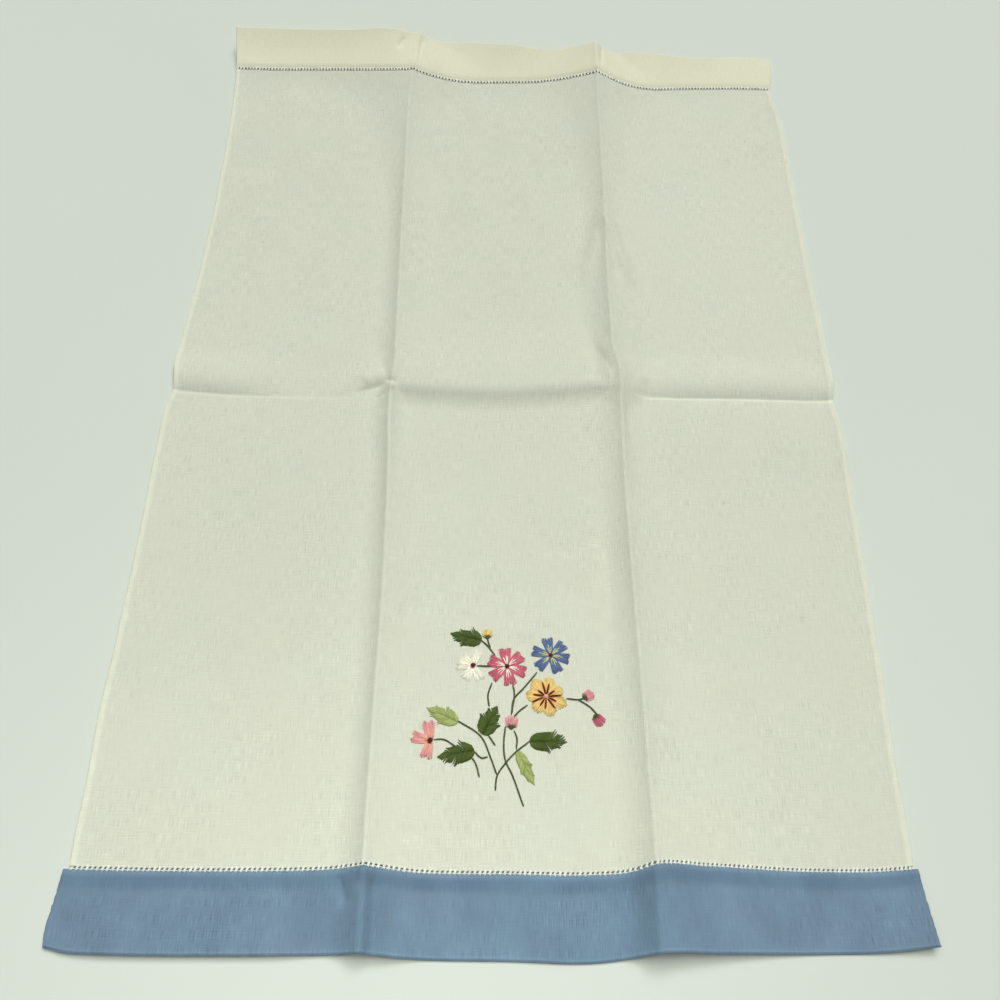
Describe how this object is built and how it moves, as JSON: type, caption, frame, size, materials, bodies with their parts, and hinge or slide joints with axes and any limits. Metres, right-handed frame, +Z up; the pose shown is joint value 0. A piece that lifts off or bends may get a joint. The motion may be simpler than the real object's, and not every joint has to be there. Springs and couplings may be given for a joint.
{
  "type": "hand towel",
  "caption": "Linen hand towel laid open, with a blue border along one end, a folded hem at the other and the soft ridges of its old folds.",
  "frame": {"origin": "on the surface the towel lies on, under the middle of its outline", "axes": "+X across the towel to the right, +Y up the towel from the blue border to the top hem, +Z up out of its right side"},
  "size_m": [0.3532, 0.5404, 0.0149],
  "materials": {
    "cream_linen": "matt plain-weave linen",
    "blue_linen": "matt plain-weave linen, doubled"
  },
  "bodies": {
    "root": {"linen_panel": "cream_linen", "blue_border": "blue_linen"}
  },
  "joints": []
}
